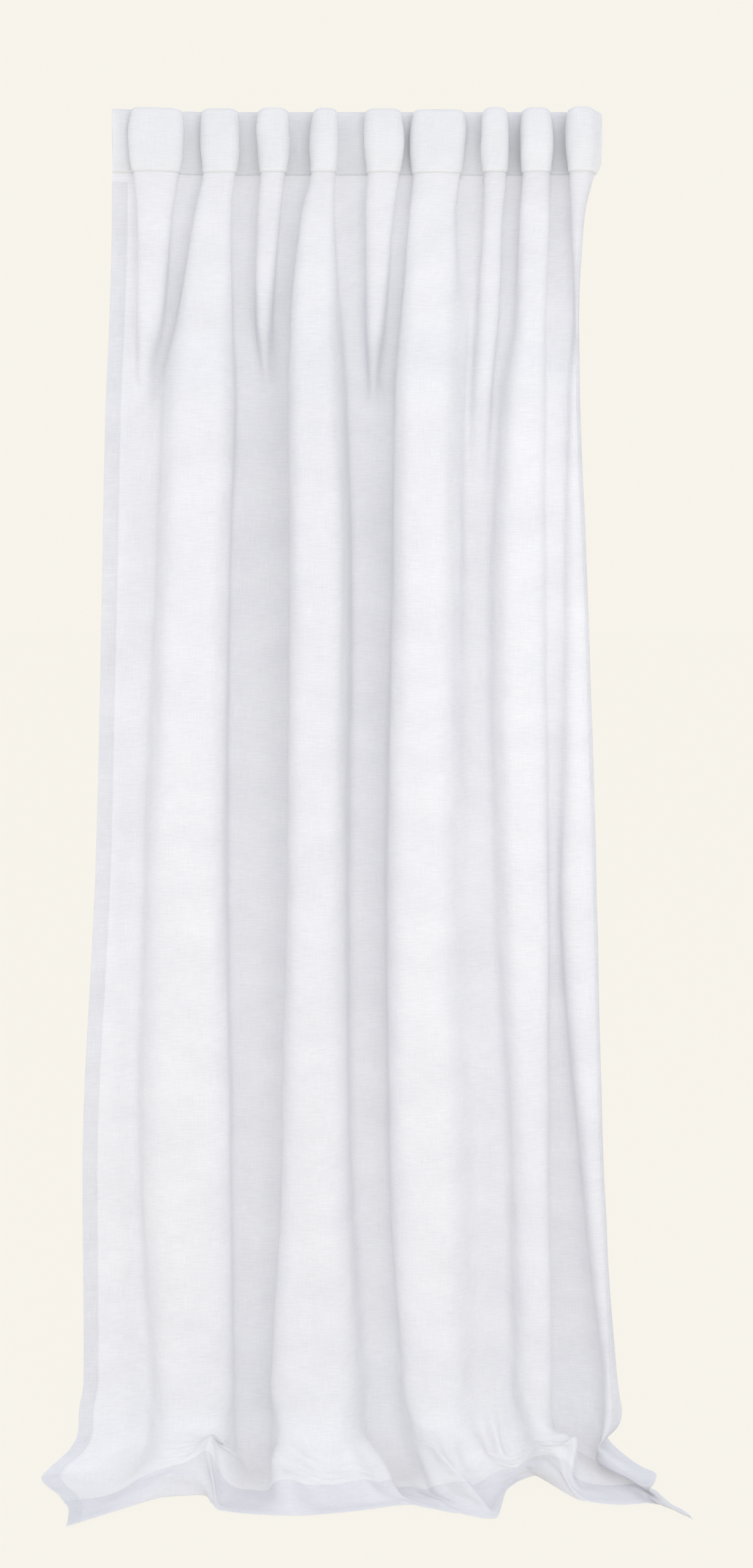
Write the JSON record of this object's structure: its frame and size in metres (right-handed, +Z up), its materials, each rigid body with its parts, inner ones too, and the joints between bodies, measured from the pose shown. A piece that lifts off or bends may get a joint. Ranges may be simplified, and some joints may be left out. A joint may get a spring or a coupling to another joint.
{
  "type": "curtain panel",
  "caption": "Sheer fabric curtain panel with a hidden-tab heading, gathered on a rod in soft vertical folds, its spare length resting on the floor.",
  "frame": {"origin": "on the axis of the rod the tabs hang from, midway along the gathered heading", "axes": "+Z up, +X to the right as seen from the room, -Y towards the room"},
  "size_m": [1.095, 0.3022, 2.2947],
  "materials": {
    "voile": "semi-sheer white linen-look voile with slub yarns",
    "heading_cloth": "the same voile, doubled",
    "hem_cloth": "the same voile, turned twice",
    "webbing": "woven white heading tape and straps",
    "stitching": "matt white sewing thread"
  },
  "bodies": {
    "panel": {"curtain_panel": "voile", "heading_band": "heading_cloth", "heading_tape": "webbing", "side_hem_left": "hem_cloth", "side_hem_right": "hem_cloth", "bottom_hem": "hem_cloth", "heading_top_thread": "stitching", "heading_seam_thread": "stitching", "side_thread_left": "stitching", "side_thread_right": "stitching", "bottom_hem_thread": "stitching", "hidden_tab_01": "webbing", "tack_top_01": "stitching", "tack_low_01": "stitching"},
    "tab_02": {"hidden_tab_02": "webbing", "tack_top_02": "stitching", "tack_low_02": "stitching"},
    "tab_03": {"hidden_tab_03": "webbing", "tack_top_03": "stitching", "tack_low_03": "stitching"},
    "tab_04": {"hidden_tab_04": "webbing", "tack_top_04": "stitching", "tack_low_04": "stitching"},
    "tab_05": {"hidden_tab_05": "webbing", "tack_top_05": "stitching", "tack_low_05": "stitching"},
    "tab_06": {"hidden_tab_06": "webbing", "tack_top_06": "stitching", "tack_low_06": "stitching"},
    "tab_07": {"hidden_tab_07": "webbing", "tack_top_07": "stitching", "tack_low_07": "stitching"},
    "tab_08": {"hidden_tab_08": "webbing", "tack_top_08": "stitching", "tack_low_08": "stitching"},
    "tab_09": {"hidden_tab_09": "webbing", "tack_top_09": "stitching", "tack_low_09": "stitching"},
    "tab_10": {"hidden_tab_10": "webbing", "tack_top_10": "stitching", "tack_low_10": "stitching"}
  },
  "joints": [
    {"name": "draw", "type": "slide", "parent": "panel", "child": "tab_10", "axis": [-1, 0, 0], "range_m": [0, 0.44]},
    {"name": "slide_02", "type": "slide", "parent": "panel", "child": "tab_02", "axis": [-1, 0, 0], "range_m": [0, 0.061]},
    {"name": "slide_03", "type": "slide", "parent": "panel", "child": "tab_03", "axis": [-1, 0, 0], "range_m": [0, 0.1132]},
    {"name": "slide_04", "type": "slide", "parent": "panel", "child": "tab_04", "axis": [-1, 0, 0], "range_m": [0, 0.1616]},
    {"name": "slide_05", "type": "slide", "parent": "panel", "child": "tab_05", "axis": [-1, 0, 0], "range_m": [0, 0.2097]},
    {"name": "slide_06", "type": "slide", "parent": "panel", "child": "tab_06", "axis": [-1, 0, 0], "range_m": [0, 0.2632]},
    {"name": "slide_07", "type": "slide", "parent": "panel", "child": "tab_07", "axis": [-1, 0, 0], "range_m": [0, 0.3297]},
    {"name": "slide_08", "type": "slide", "parent": "panel", "child": "tab_08", "axis": [-1, 0, 0], "range_m": [0, 0.3643]},
    {"name": "slide_09", "type": "slide", "parent": "panel", "child": "tab_09", "axis": [-1, 0, 0], "range_m": [0, 0.4087]}
  ],
  "couplings": [
    {"joint": "slide_02", "follows": "draw", "ratio": 0.13851},
    {"joint": "slide_03", "follows": "draw", "ratio": 0.25708},
    {"joint": "slide_04", "follows": "draw", "ratio": 0.36726},
    {"joint": "slide_05", "follows": "draw", "ratio": 0.47639},
    {"joint": "slide_06", "follows": "draw", "ratio": 0.59811},
    {"joint": "slide_07", "follows": "draw", "ratio": 0.74921},
    {"joint": "slide_08", "follows": "draw", "ratio": 0.82791},
    {"joint": "slide_09", "follows": "draw", "ratio": 0.92865}
  ]
}
